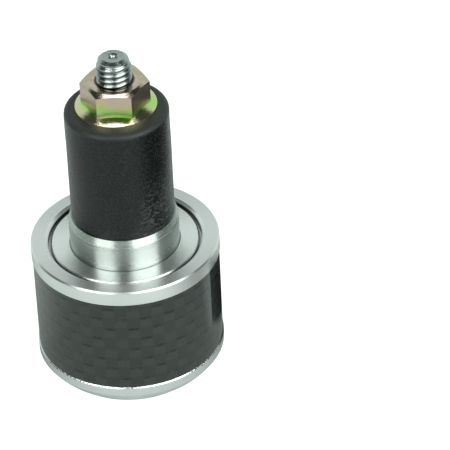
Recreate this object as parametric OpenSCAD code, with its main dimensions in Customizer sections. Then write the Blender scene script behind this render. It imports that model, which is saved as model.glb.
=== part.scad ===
// Bar end weight for a motorbike handlebar, with a rubber expander plug.
// It stands on its domed face, with the screw's axis along +Z and the nut on top.
// All sizes are in millimetres. z = 0 is the flat land around the screw seat.

/* [Domed cap] */
// Outside diameter of the weight
weight_d = 32; // [30:0.5:35]
// Height of the dome, from its flat land to the side band
dome_h = 6.7; // [6.2:0.1:8]
// Radius of the dome's crown
crown_r = 22.5; // [21:0.5:26]
// Diameter where the crown runs into the shoulder
crown_d = 22; // [19:0.5:24]
// Height of the cap's straight side band
band_h = 1.7; // [1.2:0.1:4]
// Height of the spigot that centres the carbon sleeve
spigot_h = 1.5; // [0.8:0.1:3]
// Chamfer on the outer edges of the turned metal
edge_c = 0.25; // [0.1:0.05:0.5]

/* [Face drillings] */
// Number of drillings in the dome
drill_n = 6; // [4:1:6]
// Diameter of each drilling
drill_d = 7.8; // [5:0.2:8.4]
// Diameter of the circle that the drillings lie on
drill_pcd = 21.4; // [20.8:0.2:22]
// Metal left behind the flat floor of each drilling
drill_floor_t = 1.7; // [1:0.1:3]

/* [Screw seat] */
// Diameter of the counterbore for the screw head
seat_d = 11.6; // [10.8:0.1:12.2]
// Width of the flat land around the counterbore
land_w = 0.5; // [0.3:0.1:0.6]
// Depth of the screw head below the land
head_recess = 0.5; // [0.2:0.1:1.5]

/* [Carbon sleeve] */
// Length of the sleeve
carbon_l = 17.35; // [12:0.05:30]
// Wall of the sleeve
carbon_wall = 1.5; // [1:0.1:2]
// Step from the metal's outside down to the sleeve
carbon_step = 0.15; // [0.05:0.05:0.4]

/* [Rear ring and core] */
// Height of the rear ring
ring_h = 2.8; // [2:0.1:5]
// Bore of the rear ring
ring_bore_d = 26.2; // [24:0.2:26.4]
// Chamfer at the mouth of the ring's bore
ring_bore_c = 0.4; // [0.2:0.1:0.8]
// Width of the groove between the ring and the core's nose
groove_w = 0.5; // [0.3:0.05:0.8]
// Depth of the groove below the core's end face
groove_h = 1.0; // [0.5:0.1:1.2]
// Depth of the core's end face below the ring's face
core_recess = 0.5; // [0.2:0.1:0.9]

/* [Collar] */
// Outside diameter of the collar
collar_d = 18.6; // [17.8:0.1:22]
// Height of the collar's straight side
collar_side_h = 4.7; // [3:0.1:8]
// Height of the collar's bevelled shoulder
collar_bevel_h = 1.3; // [0.6:0.1:2]
// Width of the bevelled shoulder
collar_bevel_w = 0.4; // [0.2:0.1:0.7]

/* [Rubber plug] */
// Outside diameter of the rubber sleeve, for an 18 mm bar bore
rubber_d = 17.5; // [16.5:0.1:17.7]
// Length of the rubber sleeve
rubber_l = 21; // [16:0.1:26]
// Bore of the rubber sleeve
rubber_bore_d = 8; // [7:0.1:9]
// Chamfer on the rubber's lower edge and round its bore
rubber_c = 0.3; // [0.1:0.1:0.6]
// Chamfer on the rubber's upper edge, under the nut
rubber_top_c = 0.7; // [0.3:0.1:1]

/* [Screw] */
// Thread diameter of the screw
screw_d = 6; // [5:0.5:6]
// Length of thread that stands out of the nut
thread_out_l = 4.6; // [3:0.1:8]
// Diameter of the screw head
head_d = 10; // [9:0.1:10.4]
// Height of the screw head
head_h = 6; // [5:0.1:6]
// Chamfer on the head's outer edge
head_c = 0.25; // [0.1:0.05:0.6]
// Width of the hex socket across its flats
key_af = 5; // [4:0.5:5]
// Depth of the hex socket
key_h = 3; // [2:0.1:4]
// Depth of the cone at the socket's floor
key_point_h = 0.9; // [0.3:0.1:1.2]
// Width of the chamfer at the socket's mouth
key_c = 0.3; // [0.1:0.05:0.4]
// Width of the slow taper that leads the thread into the nut
lead_c = 0.5; // [0.2:0.1:0.8]
// Height of that taper
lead_h = 1.55; // [0.5:0.05:2.5]
// Width of the bevel at the screw's tip
tip_c = 0.6; // [0.3:0.1:1]
// Height of the bevel at the screw's tip
tip_h = 0.45; // [0.2:0.05:1]
// Diameter of the dimple in the tip
dimple_d = 1.6; // [0.8:0.1:2]
// Depth of the dimple in the tip
dimple_h = 0.5; // [0.2:0.1:0.8]

/* [Flange nut] */
// Width of the nut across its flats
nut_af = 10; // [9:0.5:10.5]
// Height of the nut
nut_h = 5.35; // [5:0.05:6.5]
// Diameter of the flange
flange_d = 13.6; // [13:0.1:14.2]
// Height of the flange's rim
flange_rim_h = 0.6; // [0.5:0.1:1.2]
// Slope of the flange's top, in degrees from flat
flange_slope = 20; // [15:1:35]
// Diameter of the nut's flat top face
nut_face_d = 8.9; // [8.4:0.1:9.4]
// Slope of the bevel around the top face, in degrees from flat
nut_bevel = 20; // [15:1:35]
// Turn of the nut about the screw, in degrees
nut_turn = -2; // [-30:1:30]

/* [Clearances] */
// Radial clearance between turned parts that slip together
slip_c = 0.05; // [0.02:0.01:0.1]
// Radial clearance of the through hole around the screw
hole_c = 0.3; // [0.2:0.05:0.5]
// Radial clearance of the nut's bore on the thread's crests
thread_c = 0.05; // [0.02:0.01:0.08]

/* [Hidden] */
$fn = 128;
// Overlap of a cutting tool past the face that it cuts
cut = 1;

cap_r = weight_d / 2;
cap_h = dome_h + band_h;
land_r = seat_d / 2 + land_w;
seat_z = head_recess + head_h;
hole_r = screw_d / 2 + hole_c;
carbon_r = cap_r - carbon_step;
carbon_bore_r = carbon_r - carbon_wall;
spigot_r = carbon_bore_r - slip_c;
ring_z = cap_h + carbon_l;
ring_top_z = ring_z + ring_h;
ring_bore_r = ring_bore_d / 2;
core_z = cap_h + spigot_h;
core_top_z = ring_top_z - core_recess;
nose_r = ring_bore_r - groove_w;
collar_h = collar_side_h + collar_bevel_h;
rubber_z = core_top_z + collar_h;
nut_z = rubber_z + rubber_l;
tip_z = nut_z + nut_h + thread_out_l;

// The dome's section is two arcs. The crown is centred on the axis and meets the land's edge.
crown_z = sqrt(pow(crown_r, 2) - pow(land_r, 2));
join_r = crown_d / 2;
join_z = crown_z - sqrt(pow(crown_r, 2) - pow(join_r, 2));
// The shoulder is tangent to the crown where they join, and ends at the side band.
to_join = [join_r - cap_r, join_z - dome_h];
inward = [-join_r, crown_z - join_z] / crown_r;
shoulder_r = -(to_join * to_join) / (2 * (inward * to_join));
shoulder_centre = [join_r, join_z] + shoulder_r * inward;

// A turned ring that stands on z = 0, with chamfered outer edges and a chamfered top bore
module turned_ring(r_out, r_in, h, c_low, c_top, c_bore) {
    rotate_extrude()
        polygon([
            [r_in, 0],
            [r_out - c_low, 0],
            [r_out, c_low],
            [r_out, h - c_top],
            [r_out - c_top, h],
            [r_in + c_bore, h],
            [r_in, h - c_bore]
        ]);
}

// Half of the cap's section: crown, shoulder, side band and spigot
module cap_section() {
    intersection() {
        translate([0, crown_z]) circle(r = crown_r);
        square([join_r, cap_h]);
    }
    intersection() {
        translate(shoulder_centre) circle(r = shoulder_r);
        translate([join_r, 0]) square([cap_r - join_r, dome_h]);
    }
    polygon([
        [join_r, dome_h],
        [cap_r, dome_h],
        [cap_r, cap_h - edge_c],
        [cap_r - edge_c, cap_h],
        [join_r, cap_h]
    ]);
    translate([0, cap_h]) square([spigot_r, spigot_h]);
}

module face_drillings() {
    for (i = [0 : drill_n - 1])
        rotate([0, 0, i * 360 / drill_n])
            translate([drill_pcd / 2, 0, -cut])
                cylinder(d = drill_d, h = cut + cap_h - drill_floor_t);
}

module end_cap() {
    color("gainsboro")
        difference() {
            rotate_extrude() cap_section();
            face_drillings();
            translate([0, 0, -cut]) cylinder(d = seat_d, h = cut + seat_z);
            cylinder(r = hole_r, h = core_z + cut);
        }
}

module carbon_sleeve() {
    color([0.20, 0.22, 0.21])
        translate([0, 0, cap_h])
            difference() {
                cylinder(r = carbon_r, h = carbon_l);
                translate([0, 0, -cut]) cylinder(r = carbon_bore_r, h = carbon_l + 2 * cut);
            }
}

// The solid middle of the weight, with a seat and a nose for the rear ring
module core() {
    color("silver")
        difference() {
            rotate_extrude()
                polygon([
                    [0, core_z],
                    [spigot_r, core_z],
                    [spigot_r, ring_z],
                    [ring_bore_r - slip_c, ring_z],
                    [ring_bore_r - slip_c, core_top_z - groove_h],
                    [nose_r, core_top_z - groove_h],
                    [nose_r, core_top_z - edge_c],
                    [nose_r - edge_c, core_top_z],
                    [0, core_top_z]
                ]);
            translate([0, 0, core_z - cut])
                cylinder(r = hole_r, h = core_top_z - core_z + 2 * cut);
        }
}

module rear_ring() {
    color("gainsboro")
        translate([0, 0, ring_z])
            turned_ring(cap_r, ring_bore_r, ring_h, edge_c, edge_c, ring_bore_c);
}

module collar() {
    color("silver")
        translate([0, 0, core_top_z])
            rotate_extrude()
                polygon([
                    [hole_r, 0],
                    [collar_d / 2, 0],
                    [collar_d / 2, collar_side_h],
                    [collar_d / 2 - collar_bevel_w, collar_h],
                    [hole_r, collar_h]
                ]);
}

module rubber_sleeve() {
    color([0.16, 0.17, 0.17])
        translate([0, 0, rubber_z])
            turned_ring(rubber_d / 2, rubber_bore_d / 2, rubber_l, rubber_c, rubber_top_c, rubber_c);
}

module key_socket() {
    key_r = key_af / 2 / cos(30);
    translate([0, 0, -cut]) cylinder(r = key_r, h = cut + key_h, $fn = 6);
    translate([0, 0, key_h]) cylinder(d1 = key_af - 2 * key_c, d2 = 0, h = key_point_h);
    rotate_extrude()
        polygon([[0, 0], [key_af / 2 + key_c, 0], [0, key_af / 2 + key_c]]);
}

module socket_screw() {
    color("lightsteelblue")
        difference() {
            rotate_extrude()
                polygon([
                    [0, head_recess],
                    [head_d / 2 - head_c, head_recess],
                    [head_d / 2, head_recess + head_c],
                    [head_d / 2, seat_z],
                    [screw_d / 2, seat_z],
                    [screw_d / 2, tip_z - tip_h - lead_h],
                    [screw_d / 2 - lead_c, tip_z - tip_h],
                    [screw_d / 2 - lead_c - tip_c, tip_z],
                    [dimple_d / 2, tip_z],
                    [0, tip_z - dimple_h]
                ]);
            translate([0, 0, head_recess]) key_socket();
        }
}

// The space under the bevel that trims the hexagon's top corners
module nut_trim(r_out) {
    rotate_extrude()
        polygon([
            [0, 0],
            [r_out, 0],
            [r_out, nut_h - (r_out - nut_face_d / 2) * tan(nut_bevel)],
            [nut_face_d / 2, nut_h],
            [0, nut_h]
        ]);
}

module nut_flange() {
    rise = (flange_d / 2 - screw_d / 2) * tan(flange_slope);
    rotate_extrude()
        polygon([
            [0, 0],
            [flange_d / 2, 0],
            [flange_d / 2, flange_rim_h],
            [screw_d / 2, flange_rim_h + rise],
            [0, flange_rim_h + rise]
        ]);
}

module flange_nut() {
    corner_r = nut_af / 2 / cos(30);
    color("darkkhaki")
        translate([0, 0, nut_z])
            difference() {
                union() {
                    intersection() {
                        rotate([0, 0, nut_turn]) cylinder(r = corner_r, h = nut_h, $fn = 6);
                        nut_trim(corner_r + cut);
                    }
                    nut_flange();
                }
                translate([0, 0, -cut])
                    cylinder(r = screw_d / 2 + thread_c, h = nut_h + 2 * cut);
            }
}

end_cap();
carbon_sleeve();
core();
rear_ring();
collar();
rubber_sleeve();
socket_screw();
flange_nut();
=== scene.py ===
"""Bar end weight for a motorbike handlebar.

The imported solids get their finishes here. The threaded screw and the moulded rubber are meshes of their own,
and a pale studio and the camera stand round the part."""

import math

import bpy
from mathutils import Matrix, Vector


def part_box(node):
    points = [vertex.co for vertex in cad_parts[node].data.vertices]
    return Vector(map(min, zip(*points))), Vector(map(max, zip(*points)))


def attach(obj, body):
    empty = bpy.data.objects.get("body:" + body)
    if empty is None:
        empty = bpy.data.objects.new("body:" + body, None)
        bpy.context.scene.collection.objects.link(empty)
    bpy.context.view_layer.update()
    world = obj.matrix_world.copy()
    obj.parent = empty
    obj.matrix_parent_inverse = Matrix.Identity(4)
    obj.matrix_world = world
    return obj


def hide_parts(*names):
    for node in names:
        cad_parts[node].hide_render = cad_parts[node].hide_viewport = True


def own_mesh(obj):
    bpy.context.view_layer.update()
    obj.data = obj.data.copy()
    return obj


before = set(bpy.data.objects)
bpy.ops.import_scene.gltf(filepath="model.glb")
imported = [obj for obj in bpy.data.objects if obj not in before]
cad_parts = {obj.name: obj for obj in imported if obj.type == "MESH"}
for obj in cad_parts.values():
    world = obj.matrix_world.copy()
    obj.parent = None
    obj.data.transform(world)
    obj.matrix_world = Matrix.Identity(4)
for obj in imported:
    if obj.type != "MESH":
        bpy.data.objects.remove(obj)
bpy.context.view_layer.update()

MM = 0.001
TURN = 2 * math.pi

# Screw, in metres
THREAD_PITCH = 1.0 * MM
THREAD_CREST_R = 2.98 * MM
THREAD_ROOT_R = 2.64 * MM
THREAD_LENGTH = 24 * MM
THREAD_FADE = 2 * MM
THREAD_SHARPNESS = 0.9
LEAD_GROOVE = 0.26 * MM
LEAD_GROOVE_GROWTH = 0.6
KEY_AF = 5 * MM
KEY_DEPTH = 3 * MM
KEY_CONE = 0.9 * MM
KEY_CHAMFER = 0.3 * MM
KEY_FOOT_EDGE = 0.05 * MM
KEY_MOUTH_GAP = 0.01 * MM
HEAD_HEIGHT = 6 * MM
HEAD_CHAMFER = 0.25 * MM
HEAD_SEAT_EDGE = 0.1 * MM
SHANK_FILLET = 0.25 * MM
TIP_FACE_R = 1.9 * MM
TIP_BEVEL_R = 2.5 * MM
TIP_BEVEL_H = 0.45 * MM
TIP_LEAD_H = 1.55 * MM
RINGS_PER_PITCH = 18
SCREW_SEGMENTS = 120
SHARP_ANGLE = math.radians(32)

# Dimple in the screw's tip, in metres: its lip, its edge, its foot and its bottom
DIMPLE_R = 0.72 * MM
DIMPLE_H = 0.6 * MM
DIMPLE_LIP_R = DIMPLE_R * 1.35
DIMPLE_LIP_H = 0.03 * MM
DIMPLE_EDGE_H = 0.20 * MM
DIMPLE_FOOT_R = DIMPLE_R * 0.6
DIMPLE_FOOT_H = DIMPLE_H * 0.9

# Rubber sleeve, in metres. Each wave of its wall is a height, waves round, slant along it and start.
RUBBER_ROUND_LOW = 0.25 * MM
RUBBER_ROUND_TOP = 0.9 * MM
RUBBER_BORE_R = 4 * MM
RUBBER_SEGMENTS = 160
RUBBER_ROWS = 90
RUBBER_ROUND_STEPS = 6
RUBBER_TOP_RINGS = (0.8, 0.6, 0.4, 0.2)
RUBBER_WAVE = 0.03 * MM
RUBBER_WAVES = ((1.0, 3, 9, 0), (0.6, 5, -14, 1))

# Cap's drillings, in millimetres
DRILL_COUNT = 6
DRILL_R = 3.9
DRILL_CIRCLE_R = 10.7
DRILL_EDGE = 0.03

# Turned corners and the seams between pieces, where shade is painted, in millimetres
SPIGOT_H = 1.5
CORE_NOSE_R = 12.5
RING_MOUTH_R = 13.45
COLLAR_BEVEL_H = 1.3
EDGE_WIDTH = 0.12
CAP_EDGE_WIDTH = 0.3
SEAM_WIDTH = 0.14
GROOVE_WIDTH = 0.42
GROOVE_FROM_CORE = 0.2
GROOVE_DEPTH_AT_CORE = 0.55
GROOVE_FROM_RING = 0.4
GROOVE_DEPTH_AT_RING = 0.45

# Turned metal: how marks, nicks, handling and the painted shade of seams change its colour, height and
# roughness
MARKED_SHADE = 0.92
GRAIN_IN_WEAR = 0.5
WEAR_ROUGHNESS = 0.06
WEAR_MIDDLE = 0.03
EDGE_ROUGHNESS = 0.14
NICK_DEPTH = 2.0
SEAM_DARKNESS = 0.9

# Weave: how far a tow wanders, in tow widths, where its end dips and is painted dark as shade, and the fibres
# in it
TOW_WANDER = 0.12
WANDERS_PER_MM = 0.35
DIP_ALONG = (0.14, 0.40)
DIP_ACROSS = (0.5, 1.0)
DIP_AT_SIDES = 0.25
DIP_PATCHES_PER_MM = 0.5
DIP_PATCHES = (0.34, 0.58)
DIP_FAINTEST = 0.15
FIBRES_ACROSS = 9.0
FIBRES_ALONG = 0.8
FIBRE_SHIFT_PER_COLUMN = 3.7
FIBRE_SHIFT_PER_ROW = 5.3

# Plating film: its patches and grain, and in millimetres where it has drained further from the side flats
FILM_PATCHES_PER_MM = 0.22
FILM_GRAINS_PER_MM = 2.0
FILM_GRAIN = 0.28
DRAINED_BY = 1.7
DRAINED_ASIDE = (2.7, 3.5)
DRAINED_FROM = (0.9, 1.3)
DRAINED_UP_TO = (2.4, 4.4)

# Rubber, in millimetres: its pressed top below the end, painted lighter as painted light, and its wrinkles
# above the foot and beside the axis, painted lighter as glints
TOP_BAND_BELOW_TOP = (1.2, 0.3)
WRINKLED_ABOVE_FOOT = (1.0, 13.0)
WRINKLED_ASIDE = (1.5, 5.5)
WRINKLE_FLATNESS = 2.2

# Painted shade in the screw's thread and round it, in millimetres from the thread's root and below the tip
ROOT_SHADE = (0.03, 0.20)
ROOT_SHADE_FROM = (24.0, 23.0)
ROOT_SHADE_UP_TO = (1.9, 1.5)
BORE_SHADE_OFF = 0.15
BORE_SHADE_WIDTH = 0.22

# Roughness of each finish at its smoothest, and what marks, grain, drilling, pressing or flats add
CAP_SMOOTHEST = 0.13
CAP_MARKS_ROUGHNESS = 0.10
CAP_DRILLED_ROUGHNESS = 0.12
CARBON_SMOOTHEST = 0.36
CARBON_FIBRE_ROUGHNESS = 0.15
RUBBER_SMOOTHEST = 0.18
RUBBER_GRAIN_ROUGHNESS = 0.16
RUBBER_PRESSED_ROUGHNESS = 0.22
BRIGHT_ZINC_SMOOTHEST = 0.12
BRIGHT_ZINC_GRAIN_ROUGHNESS = 0.18
YELLOW_ZINC_SMOOTHEST = 0.03
YELLOW_ZINC_GRAIN_ROUGHNESS = 0.10
YELLOW_ZINC_FLATS_ROUGHNESS = 0.17

# Bump of each finish, in millimetres, and the shares of it that some marks have
TURNED_BUMP = 0.003
CAP_BUMP = 0.004
CAP_TURNING_SHARE = 0.4
CAP_DRILL_MARKS_SHARE = 3.0
CAP_NICKS_SHARE = 6.0
CARBON_BUMP = 0.02
CARBON_FIBRES_SHARE = 0.15
RUBBER_BUMP = 0.05
RUBBER_COARSE_SHARE = 0.6
BRIGHT_ZINC_BUMP = 0.04
YELLOW_ZINC_BUMP = 0.012

# Strength of specks and of the painted shade, from 0 to 1
SPECK_STRENGTH = 0.15
ROOT_SHADE_STRENGTH = 0.85
BORE_SHADE_STRENGTH = 0.85

# Colours, as linear red, green and blue. A pair is the darkest and the lightest.
BRIGHT_ALUMINIUM = (0.89, 0.92, 0.91)
# The collar's aluminium is painted darker and greener: painted shade for its dark reflections
SHADED_COLLAR_ALUMINIUM = (0.58, 0.65, 0.61)
DOME_ALUMINIUM = ((0.80, 0.83, 0.84), (0.88, 0.90, 0.91))
DRILLED_ALUMINIUM = (0.74, 0.76, 0.76)
# Painted shade for the seams between pieces and the groove round the core
SEAM_SHADE = (0.05, 0.06, 0.05)
LYING_FIBRES = ((0.019, 0.026, 0.022), (0.030, 0.039, 0.034))
# Upright tows, painted lighter with a painted sheen
SHEENED_UPRIGHT_FIBRES = ((0.023, 0.032, 0.027), (0.043, 0.057, 0.049))
# Painted shade at the tows' dipping ends
PAINTED_DIP_SHADE = (0.004, 0.004, 0.004)
RUBBER_GRAIN = ((0.0001, 0.0005, 0.0003), (0.011, 0.015, 0.013))
RUBBER_SPECKS = (0.10, 0.12, 0.11)
# Painted light on the rubber's top face
RUBBER_TOP_PAINTED_LIGHT = (0.019, 0.025, 0.021)
# Painted glints on the rubber's wrinkles
RUBBER_WRINKLE_GLINTS = (0.052, 0.064, 0.058)
BRIGHT_ZINC = ((0.24, 0.30, 0.29), (0.56, 0.63, 0.61))
# Painted shade in the root of the screw's thread
ROOT_SHADE_COLOUR = (0.03, 0.035, 0.03)
# Painted shade round the nut's bore
BORE_SHADE_COLOUR = (0.04, 0.04, 0.02)
FILM_COLOURS = (
    (0.00, (0.74, 0.70, 0.48)),
    (0.17, (0.72, 0.68, 0.42)),
    (0.26, (0.48, 0.78, 0.22)),
    (0.40, (0.42, 0.74, 0.20)),
    (0.54, (0.62, 0.62, 0.28)),
    (0.68, (0.70, 0.55, 0.40)),
    (0.80, (0.66, 0.51, 0.46)),
    (0.89, (0.52, 0.47, 0.33)),
    (1.00, (0.46, 0.42, 0.28)),
)
PALE_FLOOR = (0.31, 0.35, 0.325)
CARD_BLACK = (0.02, 0.02, 0.02)
STUDIO_TINT = (0.91, 1.0, 0.96)

# Camera, fitted to the photograph
IMAGE_SIDE = 450
FOCAL = 3300
SENSOR = 36
ELEVATION = math.radians(36.48)
ROLL = math.radians(-2.6)
RING_CENTRE_PIXEL = (124.9, 235.77)
RING_CENTRE_DEPTH = 0.558
CLIP = (0.05, 20)

# Floor: the glow that reflections see in each part of it, and where in millimetres it fades
FLOOR_HALF = 3.0
GLOW_FRONT = 0.35
GLOW_FRONT_Y = (-30.0, 15.0)
GLOW_LEFT = 0.36
GLOW_LEFT_X = (-45.0, -14.0)
GLOW_RIGHT = 0.45
GLOW_RIGHT_X = (22.0, 34.0)
GLOW_RIGHT_Y = (-6.0, 6.0)
GLOW_FAR = 0.55
GLOW_FAR_R = (70.0, 260.0)

# Black cards, in millimetres: the standing one's two ends and its heights, and the lying one's corners
CARD_FRONT_END = (26.5, 1.5)
CARD_BACK_END = (14.5, 18)
CARD_HEIGHTS = (0.5, 17)
CARD_FOOT_FADE = (0.2, 2.8)
CARD_FOOT_SLANT = 1.2
LYING_CARD_Z = 0.2
LYING_CARD_CORNERS = ((47, -62), (140, -62), (140, 75), (62, 75), (50, 0))

# Room: its radiances, and the limits of its white sweep as shares of a direction
WALL_RADIANCE = 0.80
ROOM_RADIANCE = 0.06
SWEEP_BEHIND = (0.29, 0.46)
SWEEP_TOP = (0.64, 0.72)
SWEEP_LEAN_FROM = 0.5
SWEEP_LEAN = 0.5
SWEEP_ASIDE_FROM = 0.42

# Softboxes, in metres and degrees. Azimuth 0 is the camera's side, and to the right is positive.
SOFTBOX_AIM = (0, 0, 0.03)
SOFTBOX_DISTANCE = 0.9
SOFTBOXES = (
    {"name": "key_right", "azimuth": 41, "elevation": 28, "size": (0.85, 1.0), "radiance": 3.3},
    {"name": "key_left", "azimuth": -40, "elevation": 28, "size": (0.6, 0.9), "radiance": 2.9},
    {"name": "top", "azimuth": 179, "elevation": 77, "size": (0.55, 0.17), "radiance": 3.4},
)


def feed(tree, socket, value):
    """Sets a socket to a constant, or links another node's output to it."""
    if isinstance(value, bpy.types.NodeSocket):
        tree.links.new(value, socket)
    else:
        socket.default_value = value


def add_node(tree, kind, inputs=None, **settings):
    """A new node with its settings, and its inputs fed by name or number."""
    made = tree.nodes.new(kind)
    for name, value in settings.items():
        setattr(made, name, value)
    for key, value in (inputs or {}).items():
        feed(tree, made.inputs[key], value)
    return made


def maths(tree, operation, *values, clamp=False):
    made = add_node(tree, "ShaderNodeMath", operation=operation, use_clamp=clamp)
    for socket, value in zip(made.inputs, values):
        feed(tree, socket, value)
    return made.outputs[0]


def plus(tree, first, second):
    return maths(tree, "ADD", first, second)


def minus(tree, first, second):
    return maths(tree, "SUBTRACT", first, second)


def times(tree, first, second):
    return maths(tree, "MULTIPLY", first, second)


def larger(tree, first, second):
    return maths(tree, "MAXIMUM", first, second)


def magnitude(tree, value):
    return maths(tree, "ABSOLUTE", value)


def opaque(colour):
    """A colour with its alpha. Another node's output stays as it is."""
    if isinstance(colour, bpy.types.NodeSocket):
        return colour
    return (*colour, 1)


def blend_colours(tree, factor, first, second):
    """The first colour where the factor is 0, and the second where it is 1."""
    made = add_node(tree, "ShaderNodeMix", data_type="RGBA", clamp_factor=True)
    feed(tree, made.inputs[0], factor)
    feed(tree, made.inputs[6], opaque(first))
    feed(tree, made.inputs[7], opaque(second))
    return made.outputs[2]


def fade(tree, value, low, high, to_low=0.0, to_high=1.0):
    """A smooth change from to_low to to_high as value goes from low to high."""
    made = add_node(
        tree, "ShaderNodeMapRange",
        {"Value": value, "From Min": low, "From Max": high, "To Min": to_low, "To Max": to_high},
        interpolation_type="SMOOTHSTEP",
    )
    return made.outputs["Result"]


def fade_out(tree, value, low, high):
    """1 below low, and 0 above high."""
    return fade(tree, value, low, high, 1.0, 0.0)


def noise(tree, vector, scale, detail=2.0, roughness=0.5):
    made = add_node(
        tree, "ShaderNodeTexNoise",
        {"Vector": vector, "Scale": scale, "Detail": detail, "Roughness": roughness},
    )
    return made.outputs["Fac"]


def noise_either_way(tree, vector, scale, detail=2.0):
    """Noise round 0, from about -0.5 to 0.5."""
    return minus(tree, noise(tree, vector, scale, detail), 0.5)


def join(tree, x, y, z):
    return add_node(tree, "ShaderNodeCombineXYZ", {"X": x, "Y": y, "Z": z}).outputs[0]


def split(tree, vector):
    """The x, y and z of a vector."""
    return tuple(add_node(tree, "ShaderNodeSeparateXYZ", {0: vector}).outputs)


def surface_normal(tree):
    return add_node(tree, "ShaderNodeNewGeometry").outputs["Normal"]


def new_group(name, inputs, outputs):
    """A shader node group with float inputs and their defaults, and outputs as name and kind."""
    tree = bpy.data.node_groups.new(name, "ShaderNodeTree")
    for label, value in inputs.items():
        socket = tree.interface.new_socket(name=label, in_out="INPUT", socket_type="NodeSocketFloat")
        socket.default_value = value
    for label, kind in outputs.items():
        tree.interface.new_socket(name=label, in_out="OUTPUT", socket_type="NodeSocket" + kind)
    return tree, add_node(tree, "NodeGroupInput"), add_node(tree, "NodeGroupOutput")


def place_group(tree, group, inputs=None):
    """A group in a material, with that material's own values, and the group's outputs by name."""
    made = tree.nodes.new("ShaderNodeGroup")
    made.node_tree = group
    for key, value in (inputs or {}).items():
        feed(tree, made.inputs[key], value)
    return made.outputs


def place_in_mm(tree):
    """The surface point in the part's frame, in millimetres, as a vector and as x, y and z."""
    point = add_node(tree, "ShaderNodeTexCoord").outputs["Object"]
    scaled = add_node(tree, "ShaderNodeVectorMath", {0: point, "Scale": 1 / MM}, operation="SCALE")
    vector = scaled.outputs[0]
    return (vector, *split(tree, vector))


def radius_of(tree, x, y):
    return maths(tree, "SQRT", plus(tree, times(tree, x, x), times(tree, y, y)))


def make_turning_marks():
    """Lathe marks: fine rings that follow the radius on faces and the height on walls."""
    tree, given, out = new_group(
        "turning_marks",
        {"Rings per mm": 6.0, "Drift per mm": 0.6},
        {"Height": "Float", "Drift": "Float"},
    )
    _, x, y, z = place_in_mm(tree)
    place = join(tree, radius_of(tree, x, y), z, 0.0)
    rings = noise(tree, place, given.outputs["Rings per mm"], detail=3.0, roughness=0.6)
    feed(tree, out.inputs["Height"], rings)
    feed(tree, out.inputs["Drift"], noise(tree, place, given.outputs["Drift per mm"]))
    return tree


def make_lathe_grooves():
    """The normal of fine lathe grooves, too small to see one by one: rings on faces, hoops on walls."""
    tree, given, out = new_group(
        "lathe_grooves",
        {"Grooves per mm": 11.0, "Face slope": 0.4, "Wall slope": 0.2},
        {"Normal": "Vector"},
    )
    _, x, y, z = place_in_mm(tree)
    radius = radius_of(tree, x, y)
    smallest_radius = 0.1
    pace = times(tree, given.outputs["Grooves per mm"], TURN)
    normal = surface_normal(tree)
    flatness = magnitude(tree, split(tree, normal)[2])
    face_slope = times(tree, flatness, given.outputs["Face slope"])
    wall_slope = times(tree, minus(tree, 1.0, flatness), given.outputs["Wall slope"])
    on_face = times(tree, maths(tree, "SINE", times(tree, radius, pace)), face_slope)
    on_wall = times(tree, maths(tree, "SINE", times(tree, z, pace)), wall_slope)
    outward = maths(tree, "DIVIDE", on_face, larger(tree, radius, smallest_radius))
    tilt = join(tree, times(tree, x, outward), times(tree, y, outward), on_wall)
    tilted = add_node(tree, "ShaderNodeVectorMath", {0: normal, 1: tilt}, operation="ADD").outputs[0]
    unit = add_node(tree, "ShaderNodeVectorMath", {0: tilted}, operation="NORMALIZE").outputs[0]
    feed(tree, out.inputs["Normal"], unit)
    return tree


def make_fine_grain():
    """Even grain, and sparse specks, for rubber, plating and satin metal."""
    tree, given, out = new_group(
        "fine_grain",
        {"Grains per mm": 4.0, "Specks per mm": 1.2},
        {"Grain": "Float", "Specks": "Float"},
    )
    place, _, _, _ = place_in_mm(tree)
    grain = noise(tree, place, given.outputs["Grains per mm"], detail=4.0, roughness=0.65)
    feed(tree, out.inputs["Grain"], grain)
    cells = add_node(
        tree, "ShaderNodeTexVoronoi", {"Vector": place, "Scale": given.outputs["Specks per mm"]}
    )
    feed(tree, out.inputs["Specks"], fade_out(tree, cells.outputs["Distance"], 0.05, 0.12))
    return tree


def make_edge_nicks():
    """A mask that is 1 along a turned edge at one radius and height, and small nicks in that edge."""
    tree, given, out = new_group(
        "edge_nicks",
        {"Edge radius": 16.0, "Edge height": 0.0, "Width": 0.3},
        {"Nicks": "Float", "Edge": "Float"},
    )
    place, x, y, z = place_in_mm(tree)
    off_radius = minus(tree, radius_of(tree, x, y), given.outputs["Edge radius"])
    off_height = minus(tree, z, given.outputs["Edge height"])
    away = radius_of(tree, off_radius, off_height)
    edge = fade_out(tree, maths(tree, "DIVIDE", away, given.outputs["Width"]), 0.6, 1.4)
    feed(tree, out.inputs["Edge"], edge)
    bites = fade(tree, noise(tree, place, 2.6, detail=3.0, roughness=0.7), 0.45, 0.65)
    feed(tree, out.inputs["Nicks"], times(tree, edge, bites))
    return tree


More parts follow.
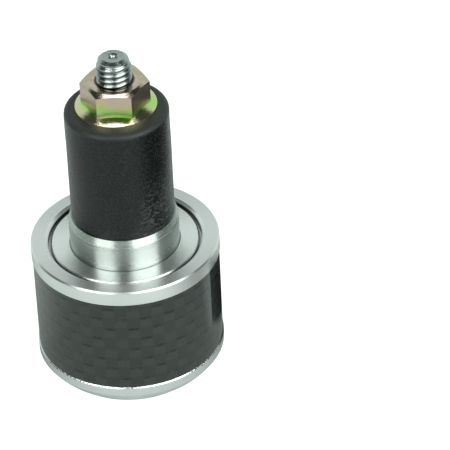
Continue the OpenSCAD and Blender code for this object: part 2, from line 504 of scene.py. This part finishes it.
def make_plain_weave():
    """Tows that pass over and under each other round a tube.
    Upright is 1 where the upright tow is on top. Crown is the top tow's height, and Dip its dipping end."""
    tree, given, out = new_group(
        "plain_weave",
        {"Tows round": 48.0, "Tow width": 2.1},
        {"Upright": "Float", "Crown": "Float", "Dip": "Float", "Fibres": "Float"},
    )
    place, x, y, z = place_in_mm(tree)
    tows_per_radian = maths(tree, "DIVIDE", given.outputs["Tows round"], TURN)
    across = times(tree, maths(tree, "ARCTAN2", y, x), tows_per_radian)
    wander = noise_either_way(tree, place, WANDERS_PER_MM, detail=1.0)
    across = plus(tree, across, times(tree, wander, TOW_WANDER))
    along = maths(tree, "DIVIDE", z, given.outputs["Tow width"])
    column, row = maths(tree, "FLOOR", across), maths(tree, "FLOOR", along)
    upright = maths(tree, "FLOORED_MODULO", plus(tree, column, row), 2.0)
    lying = minus(tree, 1.0, upright)
    feed(tree, out.inputs["Upright"], upright)

    in_column = minus(tree, minus(tree, across, column), 0.5)
    in_row = minus(tree, minus(tree, along, row), 0.5)
    end_way = plus(tree, times(tree, upright, in_row), times(tree, lying, in_column))
    side_way = plus(tree, times(tree, upright, in_column), times(tree, lying, in_row))
    side_fall = times(tree, times(tree, side_way, side_way), 4.0)
    end_fall = times(tree, times(tree, end_way, end_way), 4.0)
    fall = larger(tree, maths(tree, "POWER", side_fall, 2.0), end_fall)
    feed(tree, out.inputs["Crown"], minus(tree, 1.0, fall))

    dip = times(tree, upright, fade(tree, in_row, *DIP_ALONG))
    dip = times(tree, dip, fade(tree, side_fall, *DIP_ACROSS, 1.0, DIP_AT_SIDES))
    patches = noise(tree, place, DIP_PATCHES_PER_MM)
    feed(tree, out.inputs["Dip"], times(tree, dip, fade(tree, patches, *DIP_PATCHES, DIP_FAINTEST, 1.0)))

    shift = plus(tree, times(tree, column, FIBRE_SHIFT_PER_COLUMN), times(tree, row, FIBRE_SHIFT_PER_ROW))
    strands = join(tree, times(tree, side_way, FIBRES_ACROSS), times(tree, end_way, FIBRES_ALONG), shift)
    feed(tree, out.inputs["Fibres"], noise(tree, strands, 1.0, detail=3.0, roughness=0.7))
    return tree


def make_film_colour():
    """The colours of a chromate film on zinc, which thins upwards as the plating drains.
    They go from gold through green, olive, pink and lilac to a dull gold."""
    tree, given, out = new_group(
        "film_colour",
        {"Base height": 0.0, "Rise per mm": 0.17, "Patchiness": 0.75},
        {"Colour": "Color"},
    )
    place, x, _, z = place_in_mm(tree)
    above = minus(tree, z, given.outputs["Base height"])
    low_down = times(tree, fade(tree, above, *DRAINED_FROM), fade_out(tree, above, *DRAINED_UP_TO))
    at_the_sides = fade(tree, magnitude(tree, x), *DRAINED_ASIDE, 0.0, DRAINED_BY)
    above = plus(tree, above, times(tree, at_the_sides, low_down))
    patches = times(tree, noise_either_way(tree, place, FILM_PATCHES_PER_MM), given.outputs["Patchiness"])
    grain = times(tree, noise_either_way(tree, place, FILM_GRAINS_PER_MM, detail=4.0), FILM_GRAIN)
    rise = times(tree, above, given.outputs["Rise per mm"])
    ramp = add_node(tree, "ShaderNodeValToRGB", {"Fac": plus(tree, plus(tree, patches, grain), rise)})
    stops = ramp.color_ramp.elements
    for position, _ in FILM_COLOURS[1:-1]:
        stops.new(position)
    for stop, (position, colour) in zip(stops, FILM_COLOURS):
        stop.position = position
        stop.color = opaque(colour)
    feed(tree, out.inputs["Colour"], ramp.outputs["Color"])
    return tree


def make_drilling_zone():
    """Where the cap's surface is inside a drilling, and the drill's marks round each drilling's centre."""
    tree, given, out = new_group(
        "drilling_zone",
        {"Rings per mm": 5.0},
        {"Inside": "Float", "Marks": "Float"},
    )
    _, x, y, z = place_in_mm(tree)
    step = TURN / DRILL_COUNT
    nearest = maths(tree, "SNAP", plus(tree, maths(tree, "ARCTAN2", y, x), step / 2), step)
    off_x = minus(tree, x, times(tree, maths(tree, "COSINE", nearest), DRILL_CIRCLE_R))
    off_y = minus(tree, y, times(tree, maths(tree, "SINE", nearest), DRILL_CIRCLE_R))
    away = radius_of(tree, off_x, off_y)
    feed(tree, out.inputs["Inside"], maths(tree, "LESS_THAN", away, DRILL_R + DRILL_EDGE))
    place = join(tree, away, z, 0.0)
    feed(tree, out.inputs["Marks"], noise(tree, place, given.outputs["Rings per mm"], roughness=0.6))
    return tree


GROUPS = {
    "turning": make_turning_marks(),
    "grooves": make_lathe_grooves(),
    "grain": make_fine_grain(),
    "nicks": make_edge_nicks(),
    "weave": make_plain_weave(),
    "film": make_film_colour(),
    "drilling": make_drilling_zone(),
}


def new_finish(name, constants):
    """A material with one shader whose constants are set on its own sockets."""
    material = bpy.data.materials.new(name)
    material.use_nodes = True
    tree = material.node_tree
    shader = tree.nodes["Principled BSDF"]
    for key, value in constants.items():
        shader.inputs[key].default_value = value
    return material, tree, shader


def raise_bump(tree, shader, height, distance_mm, normal=None):
    """Bump that is distance_mm high where height is 1, on top of another normal where one is given."""
    bump = add_node(tree, "ShaderNodeBump", {"Height": height, "Distance": distance_mm * MM})
    if normal is not None:
        tree.links.new(normal, bump.inputs["Normal"])
    tree.links.new(bump.outputs["Normal"], shader.inputs["Normal"])


def follow_the_turning(tree, shader):
    """Reflections stretch across the lathe marks, which run round the axis."""
    tangent = add_node(tree, "ShaderNodeTangent", direction_type="RADIAL", axis="Z")
    tree.links.new(tangent.outputs[0], shader.inputs["Tangent"])


def edge_at(tree, radius, height, width):
    """The mask and the nicks of one turned edge, with its place and width in millimetres."""
    return place_group(tree, GROUPS["nicks"], {"Edge radius": radius, "Edge height": height, "Width": width})


def turned_metal(name, colour, roughness, stretch, face_slope, wall_slope, edges=(), seams=()):
    """Metal from the lathe, with its edges and seams in millimetres.
    Edges are (radius, height), polished by handling and with small nicks.
    Seams are (radius, height, width), painted dark as shade where two pieces meet."""
    material, tree, shader = new_finish(
        name, {"Metallic": 1.0, "Anisotropic": stretch, "Anisotropic Rotation": 0.25}
    )
    marks = place_group(tree, GROUPS["turning"], {"Rings per mm": 9.0})
    grain = place_group(tree, GROUPS["grain"], {"Grains per mm": 5.0})
    shade = blend_colours(tree, marks["Drift"], [MARKED_SHADE * c for c in colour], colour)
    height = marks["Height"]
    plain = 1.0
    for edge_radius, edge_height in edges:
        edge = edge_at(tree, edge_radius, edge_height, EDGE_WIDTH)
        height = minus(tree, height, times(tree, edge["Nicks"], NICK_DEPTH))
        plain = maths(tree, "SUBTRACT", plain, edge["Edge"], clamp=True)
    for seam in seams:
        # Each seam is painted dark: painted shade where pieces meet and in the groove
        painted_shade = times(tree, edge_at(tree, *seam)["Edge"], SEAM_DARKNESS)
        shade = blend_colours(tree, painted_shade, shade, SEAM_SHADE)
    grooves = place_group(tree, GROUPS["grooves"], {
        "Face slope": times(tree, plain, face_slope),
        "Wall slope": times(tree, plain, wall_slope),
    })
    wear = plus(tree, marks["Drift"], times(tree, grain["Grain"], GRAIN_IN_WEAR))
    wear = times(tree, wear, WEAR_ROUGHNESS)
    over_the_edges = plus(tree, roughness - WEAR_MIDDLE - EDGE_ROUGHNESS, wear)
    feed(tree, shader.inputs["Base Color"], shade)
    feed(tree, shader.inputs["Roughness"], plus(tree, EDGE_ROUGHNESS, times(tree, over_the_edges, plain)))
    raise_bump(tree, shader, height, TURNED_BUMP, grooves["Normal"])
    follow_the_turning(tree, shader)
    return material


def polished_cap_finish(edge_radius, edge_height):
    """The cap is polished outside, and its drillings keep the drill's marks."""
    material, tree, shader = new_finish(
        "polished_aluminium_dome", {"Metallic": 1.0, "Anisotropic": 0.4, "Anisotropic Rotation": 0.25}
    )
    marks = place_group(tree, GROUPS["turning"], {"Rings per mm": 3.0})
    drilling = place_group(tree, GROUPS["drilling"])
    edge = edge_at(tree, edge_radius, edge_height, CAP_EDGE_WIDTH)
    shade = blend_colours(tree, marks["Drift"], *DOME_ALUMINIUM)
    shade = blend_colours(tree, drilling["Inside"], shade, DRILLED_ALUMINIUM)
    feed(tree, shader.inputs["Base Color"], shade)
    marked = times(tree, marks["Drift"], CAP_MARKS_ROUGHNESS)
    drilled = times(tree, drilling["Inside"], CAP_DRILLED_ROUGHNESS)
    feed(tree, shader.inputs["Roughness"], plus(tree, CAP_SMOOTHEST, plus(tree, marked, drilled)))
    drill_marks = times(tree, drilling["Marks"], drilling["Inside"])
    height = times(tree, marks["Height"], CAP_TURNING_SHARE)
    height = plus(tree, height, times(tree, drill_marks, CAP_DRILL_MARKS_SHARE))
    height = minus(tree, height, times(tree, edge["Nicks"], CAP_NICKS_SHARE))
    raise_bump(tree, shader, height, CAP_BUMP)
    follow_the_turning(tree, shader)
    return material


def carbon_finish():
    """Woven fibre under a smooth clear coat. The fibres are dark, and shine like graphite. Upright tows are
    painted lighter as a painted sheen, and their dipping ends darker as painted shade.
    """
    material, tree, shader = new_finish(
        "woven_carbon_under_resin",
        {"Metallic": 0.85, "Coat Weight": 1.0, "Coat Roughness": 0.02, "Coat IOR": 1.5},
    )
    weave = place_group(tree, GROUPS["weave"])
    lying = blend_colours(tree, weave["Fibres"], *LYING_FIBRES)
    # Upright tows are painted lighter than lying ones: a painted sheen
    upright = blend_colours(tree, weave["Fibres"], *SHEENED_UPRIGHT_FIBRES)
    upright_sheen = times(tree, weave["Upright"], fade(tree, weave["Crown"], 0.0, 0.5, 0.2, 1.0))
    cloth = blend_colours(tree, upright_sheen, lying, upright)
    # The dipping ends are painted dark: painted shade for a dark reflection
    feed(tree, shader.inputs["Base Color"], blend_colours(tree, weave["Dip"], cloth, PAINTED_DIP_SHADE))
    rougher = times(tree, weave["Fibres"], CARBON_FIBRE_ROUGHNESS)
    feed(tree, shader.inputs["Roughness"], plus(tree, CARBON_SMOOTHEST, rougher))
    height = plus(tree, weave["Crown"], times(tree, weave["Fibres"], CARBON_FIBRES_SHARE))
    raise_bump(tree, shader, height, CARBON_BUMP)
    return material


def rubber_finish():
    """Black moulded rubber with grain and specks, matt on its pressed top and wrinkled low at one side. The
    top is painted lighter as painted light, and the wrinkles as painted glints.
    """
    material, tree, shader = new_finish(
        "moulded_black_rubber", {"Metallic": 0.0, "Specular IOR Level": 0.4}
    )
    grain = place_group(tree, GROUPS["grain"], {"Grains per mm": 3.2, "Specks per mm": 0.9})
    coarse = place_group(tree, GROUPS["grain"], {"Grains per mm": 0.7})
    foot, top = (corner.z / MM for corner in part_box("rubber_sleeve"))
    _, x, y, z = place_in_mm(tree)
    fine = fade(tree, grain["Grain"], 0.35, 0.75)
    top_band = fade(tree, z, *(top - below for below in TOP_BAND_BELOW_TOP))
    low_down = fade_out(tree, z, *(foot + above for above in WRINKLED_ABOVE_FOOT))
    at_one_side = fade(tree, x, *WRINKLED_ASIDE)
    flattened = join(tree, x, y, times(tree, z, WRINKLE_FLATNESS))
    wrinkles_and_glints = fade(tree, noise(tree, flattened, 1.3, detail=3.0, roughness=0.6), 0.50, 0.62)
    wrinkles_and_glints = times(tree, wrinkles_and_glints, times(tree, low_down, at_one_side))
    shade = blend_colours(tree, fine, *RUBBER_GRAIN)
    shade = blend_colours(tree, times(tree, grain["Specks"], SPECK_STRENGTH), shade, RUBBER_SPECKS)
    # The top band is painted lighter: painted light on the top face
    shade = blend_colours(tree, top_band, shade, RUBBER_TOP_PAINTED_LIGHT)
    # The wrinkles are painted lighter: painted glints where they catch the light, and the same mask gives
    # their real bump
    feed(tree, shader.inputs["Base Color"], blend_colours(tree, wrinkles_and_glints, shade, RUBBER_WRINKLE_GLINTS))
    rough = plus(tree, RUBBER_SMOOTHEST, times(tree, fine, RUBBER_GRAIN_ROUGHNESS))
    rough = plus(tree, rough, times(tree, top_band, RUBBER_PRESSED_ROUGHNESS))
    feed(tree, shader.inputs["Roughness"], rough)
    height = plus(tree, grain["Grain"], times(tree, coarse["Grain"], RUBBER_COARSE_SHARE))
    raise_bump(tree, shader, plus(tree, height, wrinkles_and_glints), RUBBER_BUMP)
    return material


def bright_zinc_finish():
    """Bright zinc on the screw, with painted shade in the root of its thread."""
    material, tree, shader = new_finish("bright_zinc_plating", {"Metallic": 1.0})
    grain = place_group(tree, GROUPS["grain"], {"Grains per mm": 2.2})["Grain"]
    _, x, y, z = place_in_mm(tree)
    root, tip = THREAD_ROOT_R / MM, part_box("socket_screw")[1].z / MM
    deep = fade(tree, radius_of(tree, x, y), *(root + off for off in ROOT_SHADE), ROOT_SHADE_STRENGTH, 0.0)
    past_the_start = fade(tree, z, *(tip - below for below in ROOT_SHADE_FROM))
    before_the_tip = fade_out(tree, z, *(tip - below for below in ROOT_SHADE_UP_TO))
    # The thread's root is painted dark: painted shade in its grooves, from the thread's start to below the tip
    painted_shade = times(tree, deep, times(tree, past_the_start, before_the_tip))
    shade = blend_colours(tree, grain, *BRIGHT_ZINC)
    feed(tree, shader.inputs["Base Color"], blend_colours(tree, painted_shade, shade, ROOT_SHADE_COLOUR))
    rough = plus(tree, BRIGHT_ZINC_SMOOTHEST, times(tree, grain, BRIGHT_ZINC_GRAIN_ROUGHNESS))
    feed(tree, shader.inputs["Roughness"], rough)
    raise_bump(tree, shader, grain, BRIGHT_ZINC_BUMP)
    return material


def yellow_zinc_finish():
    """Yellow zinc on the nut. Its flats are rougher than its pressed faces, and painted shade darkens its
    bore's edge.
    """
    material, tree, shader = new_finish("yellow_zinc_plating", {"Metallic": 1.0})
    foot, top = (corner.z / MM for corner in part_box("flange_nut"))
    film = place_group(tree, GROUPS["film"], {"Base height": foot})["Colour"]
    grain = place_group(tree, GROUPS["grain"], {"Grains per mm": 4.0})["Grain"]
    # The bore's edge is painted dark: painted shade for the gap round the thread
    bore_edge = edge_at(tree, THREAD_CREST_R / MM + BORE_SHADE_OFF, top, BORE_SHADE_WIDTH)["Edge"]
    shade = blend_colours(tree, times(tree, bore_edge, BORE_SHADE_STRENGTH), film, BORE_SHADE_COLOUR)
    feed(tree, shader.inputs["Base Color"], shade)
    upward = split(tree, surface_normal(tree))[2]
    rougher_flats = fade(tree, upward, 0.3, 0.6, YELLOW_ZINC_FLATS_ROUGHNESS, 0.0)
    rough = plus(tree, YELLOW_ZINC_SMOOTHEST, times(tree, grain, YELLOW_ZINC_GRAIN_ROUGHNESS))
    feed(tree, shader.inputs["Roughness"], plus(tree, rough, rougher_flats))
    raise_bump(tree, shader, grain, YELLOW_ZINC_BUMP)
    return material


def turned_mesh(name, rings, segments, closed_loop):
    """A mesh of rings round the axis. Each ring gives radius and height for a turn in radians.
    A closed loop of rings makes a tube. Otherwise the first and last rings close on the axis."""
    points = []
    for ring in rings:
        for i in range(segments):
            turn = TURN * i / segments
            radius, height = ring(turn)
            points.append((radius * math.cos(turn), radius * math.sin(turn), height))
    faces = []
    count = len(rings)
    for row in range(count if closed_loop else count - 1):
        low, high = row * segments, ((row + 1) % count) * segments
        for i in range(segments):
            j = (i + 1) % segments
            faces.append((low + i, low + j, high + j, high + i))
    if not closed_loop:
        first, last = len(points), len(points) + 1
        points.append((0, 0, rings[0](0)[1]))
        points.append((0, 0, rings[-1](0)[1]))
        top = (count - 1) * segments
        for i in range(segments):
            j = (i + 1) % segments
            faces.append((first, j, i))
            faces.append((last, top + i, top + j))
    mesh = bpy.data.meshes.new(name)
    mesh.from_pydata(points, [], faces)
    mesh.validate()
    mesh.shade_smooth()
    mesh.set_sharp_from_angle(angle=SHARP_ANGLE)
    piece = bpy.data.objects.new(name, mesh)
    bpy.context.scene.collection.objects.link(piece)
    return piece


def fixed_ring(radius, height):
    """A round ring, the same at every turn."""
    return lambda turn: (radius, height)


def screw_rings():
    """The socket screw from the bottom of its key socket, round its head and up its thread to the tip."""
    low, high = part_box("socket_screw")
    face_z, tip_z = low.z, high.z
    head_r = high.x
    seat_z = face_z + HEAD_HEIGHT
    key_floor_z = face_z + KEY_DEPTH
    half_af = KEY_AF / 2
    mouth_r = half_af + KEY_CHAMFER
    thread_z = tip_z - THREAD_LENGTH

    def hexagon(turn):
        return half_af / math.cos((turn % (TURN / 6)) - TURN / 12)

    def chamfer_foot(turn):
        radius = hexagon(turn)
        return radius, face_z + max(0.0, mouth_r - radius)

    def mouth(turn):
        return max(mouth_r, hexagon(turn) + KEY_MOUTH_GAP), face_z

    def thread(height):
        """The thread at one height. It grows out of the shank, and the tip's bevel and lead cut it."""
        def ring(turn):
            phase = height / THREAD_PITCH - turn / TURN
            wave = 0.5 + 0.5 * math.cos(TURN * phase)
            ridge = wave ** THREAD_SHARPNESS
            formed = THREAD_ROOT_R + ridge * (THREAD_CREST_R - THREAD_ROOT_R)
            grown = min(1.0, max(0.0, (height - thread_z) / THREAD_FADE))
            radius = formed * grown + THREAD_CREST_R * (1 - grown)
            below_tip = tip_z - height
            below_bevel = below_tip - TIP_BEVEL_H
            bevel_r = TIP_FACE_R + below_tip * (TIP_BEVEL_R - TIP_FACE_R) / TIP_BEVEL_H
            lead_r = TIP_BEVEL_R + below_bevel * (THREAD_CREST_R - TIP_BEVEL_R) / TIP_LEAD_H
            lead_groove = (1 - ridge) * min(LEAD_GROOVE, LEAD_GROOVE_GROWTH * max(0.0, below_bevel))
            return min(radius, bevel_r, lead_r - lead_groove), height
        return ring

    rings = [
        fixed_ring(half_af - KEY_CHAMFER, key_floor_z),
        lambda turn: (hexagon(turn) - KEY_FOOT_EDGE, key_floor_z),
        lambda turn: (hexagon(turn), key_floor_z - KEY_FOOT_EDGE),
        chamfer_foot,
        mouth,
        fixed_ring(head_r - HEAD_CHAMFER, face_z),
        fixed_ring(head_r, face_z + HEAD_CHAMFER),
        fixed_ring(head_r, seat_z - HEAD_SEAT_EDGE),
        fixed_ring(head_r - HEAD_SEAT_EDGE, seat_z),
        fixed_ring(THREAD_CREST_R + SHANK_FILLET, seat_z),
        fixed_ring(THREAD_CREST_R, seat_z + SHANK_FILLET),
        fixed_ring(THREAD_CREST_R, thread_z - THREAD_PITCH),
    ]
    steps = round(THREAD_LENGTH / THREAD_PITCH * RINGS_PER_PITCH)
    rings += [thread(thread_z + THREAD_LENGTH * i / steps) for i in range(steps)]
    rings += [
        fixed_ring(TIP_FACE_R, tip_z),
        fixed_ring(DIMPLE_LIP_R, tip_z - DIMPLE_LIP_H),
        fixed_ring(DIMPLE_R, tip_z - DIMPLE_EDGE_H),
        fixed_ring(DIMPLE_FOOT_R, tip_z - DIMPLE_FOOT_H),
    ]
    return rings


def make_screw(material):
    """The socket screw. The two points on its axis make the key socket's cone and the tip's dimple."""
    piece = turned_mesh("cap_screw", screw_rings(), SCREW_SEGMENTS, closed_loop=False)
    mesh = piece.data
    low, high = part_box("socket_screw")
    mesh.vertices[-2].co.z = low.z + KEY_DEPTH + KEY_CONE
    mesh.vertices[-1].co.z = high.z - DIMPLE_H
    mesh.materials.append(material)
    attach(piece, "screw")
    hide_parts("socket_screw")


def rubber_rings():
    """The rubber tube's section, with rounded ends and the faint waves of a moulded wall."""
    low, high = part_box("rubber_sleeve")
    outer, bottom, top = high.x, low.z, high.z
    inner = RUBBER_BORE_R
    small, large = RUBBER_ROUND_LOW, RUBBER_ROUND_TOP
    quarter = TURN / 4

    def wall(height):
        def ring(turn):
            share = (height - bottom) / (top - bottom)
            wave = sum(
                size * math.sin(rounds * turn + along * share + start)
                for size, rounds, along, start in RUBBER_WAVES
            )
            return outer - RUBBER_WAVE * (1 + wave * 0.5), height
        return ring

    def corner(rounding, centre_r, centre_z, start):
        turns = [start + quarter * i / RUBBER_ROUND_STEPS for i in range(RUBBER_ROUND_STEPS + 1)]
        return [
            fixed_ring(centre_r + rounding * math.cos(a), centre_z + rounding * math.sin(a))
            for a in turns
        ]

    span = top - bottom - small - large
    rings = corner(small, outer - RUBBER_WAVE - small, bottom + small, -quarter)
    rings += [wall(bottom + small + span * (i + 0.5) / RUBBER_ROWS) for i in range(RUBBER_ROWS)]
    rings += corner(large, outer - RUBBER_WAVE - large, top - large, 0)
    rings += [fixed_ring(inner + (outer - inner) * share, top) for share in RUBBER_TOP_RINGS]
    rings += corner(small, inner + small, top - small, quarter)
    rings += corner(small, inner + small, bottom + small, 2 * quarter)
    return rings


def make_rubber(material):
    """The rubber sleeve. The nut squashes the real one towards its foot as it is drawn down, and this mesh
    keeps one shape.
    """
    piece = turned_mesh("expander_rubber", rubber_rings(), RUBBER_SEGMENTS, closed_loop=True)
    piece.data.materials.append(material)
    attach(piece, "weight")
    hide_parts("rubber_sleeve")
    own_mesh(piece)


def finish_nodes():
    """The carried-over solids keep their shape and get their finishes."""
    low = {name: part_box(name)[0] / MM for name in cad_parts}
    high = {name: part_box(name)[1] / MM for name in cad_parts}
    ring_r, ring_top = high["rear_ring"].x, high["rear_ring"].z
    collar_r, collar_foot = high["collar"].x, low["collar"].z
    core_top = high["core"].z
    finishes = {
        "end_cap": polished_cap_finish(high["end_cap"].x, high["end_cap"].z - SPIGOT_H),
        "carbon_sleeve": carbon_finish(),
        "core": turned_metal(
            "turned_core_face", BRIGHT_ALUMINIUM,
            roughness=0.25, stretch=0.6, face_slope=0.22, wall_slope=0.3,
            # These seams are painted shade: a dark line at the collar's foot and in the groove
            seams=[
                (collar_r, collar_foot, SEAM_WIDTH),
                (CORE_NOSE_R + GROOVE_FROM_CORE, core_top - GROOVE_DEPTH_AT_CORE, GROOVE_WIDTH),
            ]),
        "rear_ring": turned_metal(
            "satin_rear_ring", BRIGHT_ALUMINIUM,
            roughness=0.30, stretch=0.4, face_slope=0.16, wall_slope=0.03,
            edges=[(ring_r, ring_top), (RING_MOUTH_R, ring_top)],
            # These seams are painted shade: a dark line at the ring's foot and in the groove
            seams=[
                (ring_r, low["rear_ring"].z, SEAM_WIDTH),
                (RING_MOUTH_R - GROOVE_FROM_RING, core_top - GROOVE_DEPTH_AT_RING, GROOVE_WIDTH),
            ]),
        # The collar's colour is painted darker: painted shade
        "collar": turned_metal(
            "turned_collar", SHADED_COLLAR_ALUMINIUM,
            roughness=0.26, stretch=0.8, face_slope=0.34, wall_slope=0.34,
            edges=[(collar_r, high["collar"].z - COLLAR_BEVEL_H)]),
        "flange_nut": yellow_zinc_finish(),
    }
    for name, material in finishes.items():
        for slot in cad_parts[name].material_slots:
            slot.material = material


def add_stage_plane(name, corners, material):
    """A flat piece of the studio, which isn't part of the object."""
    mesh = bpy.data.meshes.new(name)
    mesh.from_pydata(corners, [], [tuple(range(len(corners)))])
    mesh.materials.append(material)
    plane = bpy.data.objects.new(name, mesh)
    bpy.context.scene.collection.objects.link(plane)
    return plane


def seen_by_camera(tree):
    """1 where the camera sees the surface itself, and 0 where a reflection or the light does."""
    return add_node(tree, "ShaderNodeLightPath").outputs["Is Camera Ray"]


def add_floor():
    """A pale floor that glows like a light table. The camera sees it white, and reflections see it dim."""
    material, tree, shader = new_finish("pale_floor", {
        "Base Color": opaque(PALE_FLOOR),
        "Roughness": 0.8,
        "Emission Color": opaque(STUDIO_TINT),
    })
    _, x, y, _ = place_in_mm(tree)
    glows = [
        fade(tree, y, *GLOW_FRONT_Y, GLOW_FRONT, 0.0),
        fade(tree, x, *GLOW_LEFT_X, GLOW_LEFT, 0.0),
        times(tree, fade(tree, x, *GLOW_RIGHT_X, 0.0, GLOW_RIGHT), fade(tree, y, *GLOW_RIGHT_Y)),
        fade(tree, radius_of(tree, x, y), *GLOW_FAR_R, 0.0, GLOW_FAR),
    ]
    strength = seen_by_camera(tree)
    for glow in glows:
        strength = larger(tree, strength, glow)
    feed(tree, shader.inputs["Emission Strength"], strength)
    half = FLOOR_HALF
    corners = [(-half, -half, 0), (half, -half, 0), (half, half, 0), (-half, half, 0)]
    add_stage_plane("floor", corners, material)


def add_black_card(name, corners, material):
    """A card that only reflections see."""
    card = add_stage_plane(name, [Vector(corner) * MM for corner in corners], material)
    card.visible_camera = False
    card.visible_diffuse = False
    card.visible_transmission = False
    card.visible_shadow = False


def add_black_cards():
    """One card stands close behind the part at the right, with a soft foot, and one lies on the floor."""
    black = {"Base Color": opaque(CARD_BLACK), "Roughness": 0.9}
    material, tree, shader = new_finish("card_with_soft_foot", black)
    _, x, _, z = place_in_mm(tree)
    slant = fade(tree, x, CARD_BACK_END[0], CARD_FRONT_END[0], 0.0, CARD_FOOT_SLANT)
    feed(tree, shader.inputs["Alpha"], fade(tree, minus(tree, z, slant), *CARD_FOOT_FADE))
    foot, top = CARD_HEIGHTS
    front, back = CARD_FRONT_END, CARD_BACK_END
    add_black_card("card_standing", [(*front, foot), (*back, foot), (*back, top), (*front, top)], material)
    material, _, _ = new_finish("black_card", black)
    add_black_card("card_lying", [(*corner, LYING_CARD_Z) for corner in LYING_CARD_CORNERS], material)


def add_softbox(name, azimuth, elevation, size, radiance):
    """An area light that looks at the middle of the part."""
    light = bpy.data.lights.new(name, "AREA")
    light.shape = "RECTANGLE"
    light.size, light.size_y = size
    light.energy = radiance * math.pi * size[0] * size[1]
    turn, rise = math.radians(azimuth), math.radians(elevation)
    back = Vector((math.sin(turn) * math.cos(rise), -math.cos(turn) * math.cos(rise), math.sin(rise)))
    lamp = bpy.data.objects.new(name, light)
    bpy.context.scene.collection.objects.link(lamp)
    lamp.location = Vector(SOFTBOX_AIM) + back * SOFTBOX_DISTANCE
    lamp.rotation_mode = "QUATERNION"
    lamp.rotation_quaternion = back.to_track_quat("Z", "Y")


def add_room():
    """The world as a room: a white sweep behind the part, and dark in front and overhead."""
    world = bpy.data.worlds.new("studio")
    bpy.context.scene.world = world
    world.use_nodes = True
    tree = world.node_tree
    sideways, backward, upward = split(tree, add_node(tree, "ShaderNodeTexCoord").outputs["Generated"])
    aside = larger(tree, minus(tree, magnitude(tree, sideways), SWEEP_ASIDE_FROM), 0.0)
    leaning = times(tree, larger(tree, minus(tree, upward, SWEEP_LEAN_FROM), 0.0), SWEEP_LEAN)
    behind = fade(tree, plus(tree, backward, leaning), *SWEEP_BEHIND)
    below_top = fade_out(tree, minus(tree, upward, aside), *SWEEP_TOP)
    pale = larger(tree, times(tree, behind, below_top), seen_by_camera(tree))
    background = tree.nodes["Background"]
    background.inputs["Color"].default_value = opaque(STUDIO_TINT)
    feed(tree, background.inputs["Strength"], fade(tree, pale, 0.0, 1.0, ROOM_RADIANCE, WALL_RADIANCE))


def add_camera():
    """The camera of the photograph: its elevation, roll and focal length, and where it has the rear ring."""
    sine, cosine = math.sin(ELEVATION), math.cos(ELEVATION)
    level_right, level_down = Vector((1, 0, 0)), Vector((0, -sine, -cosine))
    forward = Vector((0, cosine, -sine))
    right = level_right * math.cos(ROLL) - level_down * math.sin(ROLL)
    down = level_right * math.sin(ROLL) + level_down * math.cos(ROLL)
    target = Vector((0, 0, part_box("rear_ring")[1].z))
    per_pixel = RING_CENTRE_DEPTH / FOCAL
    off_x = (RING_CENTRE_PIXEL[0] - IMAGE_SIDE / 2) * per_pixel
    off_y = (RING_CENTRE_PIXEL[1] - IMAGE_SIDE / 2) * per_pixel
    data = bpy.data.cameras.new("camera")
    data.sensor_width = SENSOR
    data.lens = FOCAL * SENSOR / IMAGE_SIDE
    data.clip_start, data.clip_end = CLIP
    camera = bpy.data.objects.new("camera", data)
    bpy.context.scene.collection.objects.link(camera)
    place = target - forward * RING_CENTRE_DEPTH - right * off_x - down * off_y
    turn = Matrix((right, -down, -forward)).transposed().to_4x4()
    camera.matrix_world = Matrix.Translation(place) @ turn
    bpy.context.scene.camera = camera


bpy.context.scene.view_settings.view_transform = "Standard"
add_camera()
make_screw(bright_zinc_finish())
make_rubber(rubber_finish())
finish_nodes()
add_floor()
add_black_cards()
add_room()
for softbox in SOFTBOXES:
    add_softbox(**softbox)
